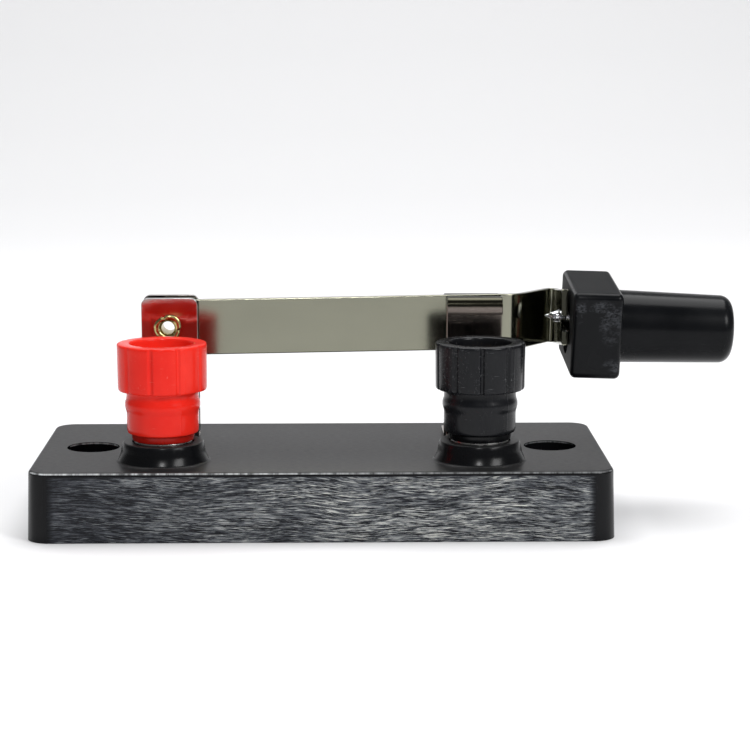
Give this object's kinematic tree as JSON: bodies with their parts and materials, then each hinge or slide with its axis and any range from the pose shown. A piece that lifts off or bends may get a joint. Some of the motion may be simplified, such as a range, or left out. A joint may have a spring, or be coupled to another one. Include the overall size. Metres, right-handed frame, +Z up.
{
  "type": "knife blade switch",
  "caption": "Single-pole knife switch: hinged metal blade with a black handle, spring jaw, and red and black screw-down binding posts on a black moulded base.",
  "frame": {"origin": "middle of the base's underside, halfway between the two screw holes", "axes": "+X from the hinge to the handle along the base, +Y from the binding posts to the blade, +Z up out of the deck"},
  "size_m": [0.1253, 0.0466, 0.0423],
  "materials": {
    "black_moulding": "satin deck, brushed walls",
    "black_gloss": "semi-gloss",
    "red_plastic": "gloss",
    "nickel_plate": "satin nickel",
    "plated_steel": "zinc plated",
    "bright_screw": "bright",
    "brass": "machined"
  },
  "bodies": {
    "base": {"base_moulding": "black_moulding", "red_post_stud": "brass", "black_post_stud": "brass", "stud_lock_washers": "plated_steel", "stud_nuts": "brass", "pivot_strap": "brass", "jaw_strap": "brass", "pivot_bracket": "nickel_plate", "pivot_bracket_screw": "plated_steel", "pivot_rivet": "brass", "pivot_washers": "plated_steel", "jaw_leaf_front": "nickel_plate", "jaw_leaf_back": "nickel_plate", "jaw_rivet": "plated_steel", "jaw_screws": "plated_steel", "jaw_lock_washers": "plated_steel", "jaw_nuts": "plated_steel"},
    "blade_arm": {"blade": "nickel_plate", "handle": "black_gloss", "handle_screw": "bright_screw"},
    "red_clamp": {"red_clamp_washer": "plated_steel"},
    "red_knob": {"red_post_knob": "red_plastic", "red_knob_insert": "brass"},
    "black_clamp": {"black_clamp_washer": "plated_steel"},
    "black_knob": {"black_post_knob": "black_gloss", "black_knob_insert": "brass"}
  },
  "joints": [
    {"name": "blade_swing", "type": "hinge", "parent": "base", "child": "blade_arm", "pos_m": [-0.0277, 0.006, 0.0334], "axis": [0, -1, 0], "range_deg": [0, 180]},
    {"name": "red_knob_lift", "type": "slide", "parent": "base", "child": "red_clamp", "axis": [0, 0, 1], "range_m": [0, 0.004]},
    {"name": "red_knob_turn", "type": "hinge", "parent": "red_clamp", "child": "red_knob", "pos_m": [-0.0277, -0.0119, 0.0159], "axis": [0, 0, 1], "range_deg": [0, 1440]},
    {"name": "black_knob_lift", "type": "slide", "parent": "base", "child": "black_clamp", "axis": [0, 0, 1], "range_m": [0, 0.004]},
    {"name": "black_knob_turn", "type": "hinge", "parent": "black_clamp", "child": "black_knob", "pos_m": [0.0277, -0.0119, 0.0159], "axis": [0, 0, 1], "range_deg": [0, 1440]}
  ],
  "couplings": [
    {"joint": "red_knob_turn", "follows": "red_knob_lift", "rad_per_m": 6283.2},
    {"joint": "black_knob_turn", "follows": "black_knob_lift", "rad_per_m": 6283.2}
  ]
}
